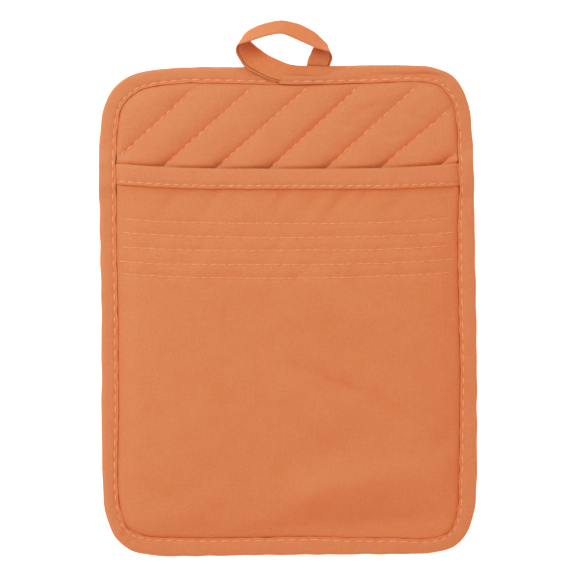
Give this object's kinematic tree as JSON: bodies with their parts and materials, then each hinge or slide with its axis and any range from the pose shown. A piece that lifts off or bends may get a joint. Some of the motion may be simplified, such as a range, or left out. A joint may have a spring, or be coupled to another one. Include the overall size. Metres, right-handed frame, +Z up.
{
  "type": "pot holder",
  "caption": "Quilted cloth pot holder with a slack hand pocket on its front, bound all round, and a folded tape loop to hang it by.",
  "frame": {"origin": "on the surface it lies on, under the middle of the whole thing, loop included", "axes": "+X across the pot holder, +Y from its bottom edge towards the loop, +Z up out of the pocket side"},
  "size_m": [0.1906, 0.2716, 0.0176],
  "materials": {
    "quilted_cloth": "woven cotton, quilted over filling, dyed orange",
    "pocket_cloth": "fine woven cotton, dyed orange",
    "mouth_binding_cloth": "folded cotton strip, dyed orange",
    "edge_binding_cloth": "folded cotton strip, dyed orange",
    "loop_tape": "folded cotton tape, dyed orange"
  },
  "bodies": {
    "root": {"quilted_pad": "quilted_cloth", "pocket_panel": "pocket_cloth", "pocket_binding": "mouth_binding_cloth", "edge_binding": "edge_binding_cloth", "hanging_loop": "loop_tape"}
  },
  "joints": []
}
